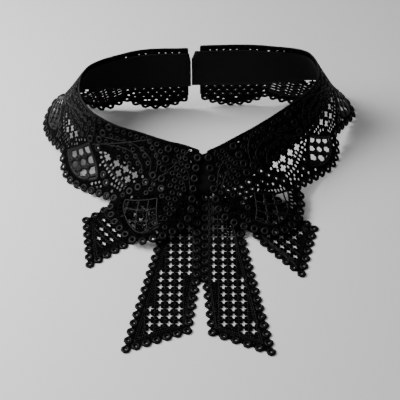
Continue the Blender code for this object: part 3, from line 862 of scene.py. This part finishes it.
def woven_material(name, colour):
    """Plain woven cloth: two crossing sets of threads as a bump."""
    material, shader, place, nodes, links = black_cloth(name, roughness=0.8, specular=0.05)
    shader.inputs["Base Color"].default_value = colour
    heights = []
    for axis in ("X", "Z"):
        wave = nodes.new("ShaderNodeTexWave")
        wave.bands_direction = axis
        wave.inputs["Scale"].default_value = 420.0
        wave.inputs["Distortion"].default_value = 0.6
        links.new(place.outputs["Object"], wave.inputs["Vector"])
        heights.append(wave.outputs["Fac"])
    weave = nodes.new("ShaderNodeMath")
    weave.operation = "ADD"
    links.new(heights[0], weave.inputs[0])
    links.new(heights[1], weave.inputs[1])
    add_bump(nodes, links, weave.outputs["Value"], shader, strength=0.35, distance=0.0002)
    return material


def along_half(half, first, path):
    """A path given by shares of a scallop's width, as places on the half."""
    width = width_of(half, first)
    return np.array([(min(first + share * width, half.lace_end - 0.05), down) for share, down in path])


def fan_loop(half, first):
    """The window of a fan: two straight sides and an arc."""
    apex, forward, back = fan_frame(half, first)
    sides = [apex + back * FAN_CELLS * k / FAN_SIDE for k in range(FAN_SIDE, 0, -1)]
    sides += [apex + forward * FAN_CELLS * k / FAN_SIDE for k in range(FAN_SIDE)]
    turns = np.linspace(0, math.pi / 2, FAN_TURNS)[:-1]
    arc = [apex + (forward * math.cos(turn) + back * math.sin(turn)) * FAN_CELLS for turn in turns]
    return np.array(sides + arc)


def lay_fan(lace, half, first):
    """A fan: its window, the cords of its lattice with their knots, and slots round it."""
    apex, forward, back = fan_frame(half, first)
    loop = fan_loop(half, first)
    lines, width = FAN_LINES, FAN_CORD if first else LOBE_FAN_CORD
    if first >= BACK_FROM:
        lines, width = BACK_FAN_LINES, BACK_FAN_CORD
    lace.window(loop, width)
    for k in lines:
        reach = math.sqrt(FAN_CELLS**2 - k**2)
        lace.cord([apex + forward * k, apex + forward * k + back * reach], width)
        lace.cord([apex + back * k, apex + back * k + forward * reach], width)
    for i in FAN_LINES:
        for j in FAN_LINES:
            if i * i + j * j < FAN_CELLS**2:
                place = apex + forward * i + back * j
                size = KNOT if first else LOBE_KNOT
                lace.knots.append((place, direction(lace.points_of, place, forward + back), size))
    lace.ladder(np.vstack([loop, loop[:1]]), FAN_SLOTS_OUT)


def lay_stars(lace, places):
    for place in places:
        toward = direction(lace.points_of, place, UP_EDGE)
        lace.cut(place, toward, star_shape(*GORE_STAR), GORE_STAR_ROOM, NARROW_BAR)


def lay_fill(lace, half, random):
    """Small round openings wherever the cloth is still plain."""
    for row, down in enumerate(FILL_ROWS):
        places = even_places(lace.points_of, [(0.04, down), (half.lace_end - 0.04, down)], FILL_PITCH)
        points = lace.points_of(places)
        for i, place in enumerate(places[:-1]):
            if row % 2:
                place = (place + places[i + 1]) / 2
            if place[1] > edge_depth(half, place[0]) - FILL_FROM_EDGE:
                continue
            radius = FILL_RADIUS[0] + FILL_RADIUS[1] * random.random()
            if place[0] > LAST and place[1] > LINING_FOOT_BACK and random.random() > LAST_FILL:
                continue
            lace.cut(place, points[i + 1] - points[i], round_shape(radius, 7), radius)


def row_places(points_of, start, end, down, pitch, skipped):
    """Every other place of a row at half the pitch, so that rows can be set off against each other."""
    return even_places(points_of, [(start, down), (end, down)], pitch / 2)[skipped::2]


def collar_layout(half):
    """A collar half: edge rings first, then fans, stars, ring columns, the band, and small openings."""
    def points_of(uv):
        return half_points(half, uv)

    lace = Lace(points_of)
    random = np.random.default_rng(SEED + half.side)
    back_foot = (half.lace_end, 1 - VALLEY_DEPTH - 0.04)
    outline = line_places((0.0, 0.0), (half.lace_end, 0.0), 90)
    outline += line_places((half.lace_end, 0.0), back_foot, 14)
    lace.edge(ring_places(points_of, rim_paths(half)), outline)
    lace.cord([(0.0, 0.02), (0.0, 0.0), (half.lace_end, 0.0), back_foot], EDGE_CORD, keep=EDGE_ROOM)
    neck = [(0.3, NECK_SLOT_DOWN), (half.lace_end - 0.05, NECK_SLOT_DOWN)]
    for place in even_places(points_of, neck, NECK_SLOT_PITCH):
        toward = direction(points_of, place, UP_EDGE)
        lace.cut(place, toward, slot_shape(*NECK_SLOT), NECK_SLOT_ROOM, NARROW_BAR)
    band_end = half.lace_end - 0.08
    for down, skipped in LAST_ROWS:
        for place in row_places(points_of, LAST + LAST_INSET, band_end, down, LAST_PITCH, skipped):
            lace.band_ring(place)
    for first in range(LAST):
        lay_fan(lace, half, first)
        if first:
            lower = np.array((0, lining_foot(first + 0.4) - LINING_FOOT_FRONT))
            lay_stars(lace, along_half(half, first, np.array(GORE_STARS) + lower))
            edge = smooth_path(along_half(half, first, np.array(GORE_EDGE) + lower))
            lace.cord(edge, EDGE_CORD, keep=GORE_ROOM)
            lace.ladder(edge, GORE_SLOTS_OUT)
    lay_stars(lace, np.array(FRONT_STARS))
    for first in range(LAST + 1):
        lace.chain(smooth_path(along_half(half, first, COLUMN if first else LOBE_COLUMN)))
        if first:
            lace.chain([(first + aside, down) for aside, down in VALLEY_COLUMN])
    for first in range(LAST + 1):
        for path in BAND_CORDS:
            lace.cord(smooth_path(along_half(half, first, path)), BAND_CORD)
    for down, skipped in BAND_ROWS:
        for place in row_places(points_of, 0.05, band_end, down, BAND_PITCH, skipped):
            if random.random() > BAND_SKIP:
                lace.band_ring(place)
    for down, skipped in LOBE_ROWS:
        for place in row_places(points_of, 0.06, 1.0, down, BAND_PITCH, skipped):
            if inside(lace.outline, place):
                lace.band_ring(place)
    lay_fill(lace, half, random)
    return lace


def tail_edges(tail, points_of):
    """(ring centres down the seam, the other paths of ring centres) of a tail's edge."""
    top = TAIL_TOP if tail.seam else SHORT_TAIL_TOP
    tip = np.linspace((1.0, 1.0), (0.0, 1.0), 61)
    outer = np.linspace((0.0, 1.0), (0.0, top), 61)
    if not tail.seam:
        return [], [np.linspace((1.0, top), (1.0, 1.0), 61), tip, outer]
    x, shift = tail.seam
    spots = np.linspace((x, SEAM_TOP), (x, SEAM_FOOT), 61)
    path = np.array([place_over(points_of, spot) for spot in spots])
    points = points_of(path)
    gone = np.concatenate([[0], np.cumsum(np.linalg.norm(np.diff(points, axis=0), axis=1))])
    at = np.arange(shift * RING_PITCH, gone[-1], RING_PITCH)
    seam = np.stack([np.interp(at, gone, path[:, k]) for k in range(2)], axis=1)
    return list(seam[:-1]), [np.linspace(seam[-1], (1.0, 1.0), 61), tip, outer]


def border_path(lace, paths, line):
    """A U inside a tail's inner edge, tip and outer edge, that many millimetres from the ring centres."""
    inner, tip, outer = paths
    lines = []
    for path, away in ((inner, line * INNER_SHARE), (tip, line), (outer, line)):
        points = lace.points_of(path)
        toward = np.gradient(points, axis=0)
        lines.append(np.array([shape_at(lace.points_of, place, ahead, [(0.0, -away)])[0]
                               for place, ahead in zip(path, toward)]))
    for first, second in ((0, 1), (1, 2)):
        i, j = crossing(lines[first], lines[second])
        lines[first] = lines[first][:i]
        lines[second] = lines[second][j:]
    return np.vstack(lines)


def crossing(first, second):
    """The steps at which two paths of places come nearest to each other."""
    gaps = np.linalg.norm(first[:, None] - second[None, :], axis=2)
    return np.unravel_index(gaps.argmin(), gaps.shape)


def cell_sides(cells):
    """The sides of square cells, each once, as (start, end) in cells."""
    sides = set()
    for column, row in cells:
        low, high = column - 0.5, column + 0.5
        top, foot = row - 0.5, row + 0.5
        sides |= {((low, top), (high, top)), ((low, foot), (high, foot)),
                  ((low, top), (low, foot)), ((high, top), (high, foot))}
    return sides


def tail_layout(tail):
    """A tail: edge rings first, then its border cords, the star net with its cords, and pin holes."""
    def points_of(uv):
        return tail_points(tail, uv)

    lace = Lace(points_of)
    seam, paths = tail_edges(tail, points_of)
    lace.edge(np.array([*seam, *ring_places(points_of, paths)]))
    if seam:
        paths[0] = np.vstack([even_places(points_of, np.array(seam), 1.5), paths[0]])
    for line in BORDER_LINES:
        lace.cord(border_path(lace, paths, line), BORDER_CORD)
    ahead = np.array(tail.net_heading)
    aside = np.array([ahead[1], -ahead[0]])
    star = star_shape(*(STAR if seam else SHORT_STAR))

    def net_place(column, row):
        spot = np.array(tail.net_at) + (ahead * row + aside * column) * NET_PITCH
        return place_over(points_of, spot)

    edges = list(zip((points_of(path) for path in paths), STAR_CLEAR))
    cells = []
    for column in NET_COLUMNS:
        for row in NET_ROWS:
            place = net_place(column, row)
            if not (0 < place[0] < 1 and 0 < place[1] < 1):
                continue
            point = points_of(np.array([place]))[0]
            if all(np.linalg.norm(path - point, axis=1).min() >= clear for path, clear in edges):
                if lace.cut(place, np.array([*ahead, 0.0]), star, STAR_ROOM, 0.0):
                    cells.append((column, row))
    for start, end in sorted(cell_sides(cells)):
        lace.cord([net_place(*start), net_place(*end)], NET_CORD)
    for down in PIN_ROWS:
        for across in PIN_COLUMNS:
            place = np.array([across, down])
            toward = direction(points_of, place, UP_EDGE)
            lace.cut(place, toward, round_shape(PIN_HOLE, 6), PIN_HOLE, PIN_BAR)
    return lace


def seam_strip(tail, points_of, material):
    """The edge of one long tail where it runs on under the other, down to where the two part."""
    corners = [(UNDER_FROM, SEAM_TOP), (UNDER_FROM, SEAM_FOOT), (UNDER_TO, SEAM_FOOT), (UNDER_TO, SEAM_TOP)]
    spots = [spot for a, b in zip(corners, corners[1:] + corners[:1]) for spot in line_places(a, b, 30)]
    outline = [place_over(points_of, spot) for spot in spots]
    name = tail.name + "_lace_under"
    return flat_cloth(name, points_of, outline, [], STRIP_SPREAD, UNDER_THICK, -UNDER, material)


def build_lace(node, lace, spread, supplies, under=()):
    """The ground, cords and rings of a lace piece, set on the root body in place of its solid."""
    name = node + "_lace"
    points_of = lace.points_of
    thread = supplies.thread
    ground = flat_cloth(name, points_of, lace.outline, lace.holes, spread, GROUND_THICK, 0, supplies.ground)
    extra = [cord_piece(name + "_cords", points_of, lace.cords, CORD_HEIGHT, thread), *under]
    large = [spot for spot in lace.rings if spot[2] >= SMALL_RING]
    small = [spot for spot in lace.rings if spot[2] < SMALL_RING]
    for kind, copied, spots in (("_rings", supplies.ring, large),
                                ("_small_rings", supplies.small_ring, small),
                                ("_knots", supplies.knot, lace.knots)):
        if spots:
            extra.append(set_on_points(name + kind, supplies.group, copied, points_of, spots, thread))
    for piece in [ground, *extra]:
        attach(piece, "root")
    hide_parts(node)
    sheet_area(ground)


def sheet_area(piece):
    """Half the surface of a thin closed sheet, which is its flat area."""
    return sum(face.area for face in piece.data.polygons) / 2


def plain_piece(node, points_of, outline, spread, offset, material, hem):
    """A plain woven piece with a rolled hem along its top edge, set on the root body in place of its solid.
    """
    name = node + "_cloth"
    cloth = flat_cloth(name, points_of, outline, [], spread, LINING_THICK, offset, material, LINING_GRID)
    rolled = [(even_places(points_of, hem, HEM_STEP), HEM_WIDTH, False)]
    edge = cord_piece(name + "_hem", points_of, rolled, HEM_HEIGHT, material, offset)
    for piece in (cloth, edge):
        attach(piece, "root")
    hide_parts(node)
    area = sheet_area(cloth)


def lining_piece(half, material):
    def points_of(uv):
        return half_points(half, uv)

    notched = 5 - half.notch
    outline = line_places((LINING_FRONT, LINING_TOP), (notched, LINING_TOP), 60)
    outline += [np.array((notched, LINING_TOP))]
    outline += line_places((5.0, LINING_TOP + 0.13), (5.0, LINING_FOOT_BACK), 6)
    foot = line_places((5.0, 0.0), (LINING_FRONT, 0.0), 60)
    outline += [np.array([along, lining_foot(along)]) for along, _ in foot]
    outline += line_places((LINING_FRONT, LINING_FOOT_FRONT), (LINING_FRONT, LINING_TOP), 6)
    hem = [(LINING_FRONT + 0.02, LINING_TOP + 0.01), (notched - 0.02, LINING_TOP + 0.01)]
    plain_piece(f"neckband_lining_{half.name}", points_of, outline, COLLAR_SPREAD,
                half.side * LINING_INSET, material, hem)


def placket_piece(material):
    left, right = HALVES

    def edge(half, down):
        places = np.column_stack([np.full(len(down), PLACKET_EDGE), down])
        points, _, _, normal = frame_at(lambda uv: half_points(half, uv), places)
        return points + normal * half.side * LINING_INSET

    def points_of(uv):
        across = uv[:, 0:1]
        return edge(right, uv[:, 1]) * (1 - across) + edge(left, uv[:, 1]) * across

    outline = line_places((0, PLACKET_TOP), (0.5, LINING_TOP), 3)
    outline += line_places((0.5, LINING_TOP), (1, PLACKET_TOP), 3)
    outline += line_places((1, PLACKET_TOP), (1, PLACKET_FOOT), 8)
    outline += line_places((1, PLACKET_FOOT), (0, PLACKET_FOOT), 6)
    outline += line_places((0, PLACKET_FOOT), (0, PLACKET_TOP), 8)
    hem = [(0.05, PLACKET_TOP + 0.02), (0.5, LINING_TOP + 0.01), (0.95, PLACKET_TOP + 0.02)]
    plain_piece("centre_front_placket", points_of, outline, PLACKET_SPREAD, 0, material,
                hem)


def build_collar():
    supplies = Supplies(
        thread_material("black_lace_thread", THREAD_BLACK, roughness=0.45, specular=0.1, grain=900.0),
        mesh_material("black_lace_mesh", MESH_BLACK, roughness=0.6, specular=0.02, cells=480.0),
        spread_group(),
        small_ring("lace_ring", *RING_THREAD),
        small_ring("small_lace_ring", *RING_THREAD, segments=10, sides=5),
        small_ring("lace_knot", *KNOT_THREAD, segments=8),
    )
    lining = woven_material("black_lining_weave", LINING_BLACK)
    for half in HALVES:
        build_lace(f"collar_lace_{half.name}", collar_layout(half), COLLAR_SPREAD, supplies)
        lining_piece(half, lining)
    placket_piece(woven_material("black_placket_weave", PLACKET_BLACK))
    for tail in TAILS:
        tips, roots = (tail.outer_tip, tail.inner_tip), (tail.outer_root, tail.inner_root)
        width = max(math.dist(*tips), math.dist(*roots))
        length = max(math.dist(tail.outer_root, tail.outer_tip), math.dist(tail.inner_root, tail.inner_tip))
        lace = tail_layout(tail)
        under = []
        if tail.name == "long_tail_right":
            under = [seam_strip(tail, lace.points_of, supplies.ground)]
        build_lace(tail.name, lace, (width, length), supplies, under)
    for small in (supplies.ring, supplies.small_ring, supplies.knot):
        bpy.data.objects.remove(small, do_unlink=True)


def soft_light(light):
    lamp = bpy.data.lights.new(light.name, "AREA")
    lamp.size = light.size
    lamp.energy = light.power
    thing = bpy.data.objects.new(light.name, lamp)
    thing.location = light.at
    thing.rotation_euler = (Vector(light.aim) - Vector(light.at)).to_track_quat("-Z", "Y").to_euler()
    bpy.context.scene.collection.objects.link(thing)


def build_stage():
    mesh = bpy.data.meshes.new("table")
    corners = [(x * TABLE_HALF, y * TABLE_HALF, 0) for x, y in ((-1, -1), (1, -1), (1, 1), (-1, 1))]
    mesh.from_pydata(corners, [], [(0, 1, 2, 3)])
    table = bpy.data.objects.new("table", mesh)
    bpy.context.scene.collection.objects.link(table)
    paper = bpy.data.materials.new("light_paper")
    paper.use_nodes = True
    shader = paper.node_tree.nodes["Principled BSDF"]
    shader.inputs["Base Color"].default_value = TABLE_COLOUR
    shader.inputs["Roughness"].default_value = 0.9
    mesh.materials.append(paper)
    world = bpy.data.worlds.new("soft_room")
    world.use_nodes = True
    world.node_tree.nodes["Background"].inputs["Color"].default_value = (1.0, 1.0, 1.0, 1.0)
    world.node_tree.nodes["Background"].inputs["Strength"].default_value = ROOM_LIGHT
    bpy.context.scene.world = world
    for light in LIGHTS:
        soft_light(light)


def build_camera():
    rise = math.radians(CAMERA_RISE)
    back = np.array([0.0, -math.cos(rise), math.sin(rise)])
    data = bpy.data.cameras.new("camera")
    data.lens = LENS
    data.sensor_width = SENSOR
    camera = bpy.data.objects.new("camera", data)
    camera.location = (CAMERA_AIM + back * CAMERA_AWAY) * MM
    camera.rotation_euler = Vector(-back).to_track_quat("-Z", "Y").to_euler()
    bpy.context.scene.collection.objects.link(camera)
    bpy.context.scene.camera = camera


build_collar()
build_stage()
build_camera()
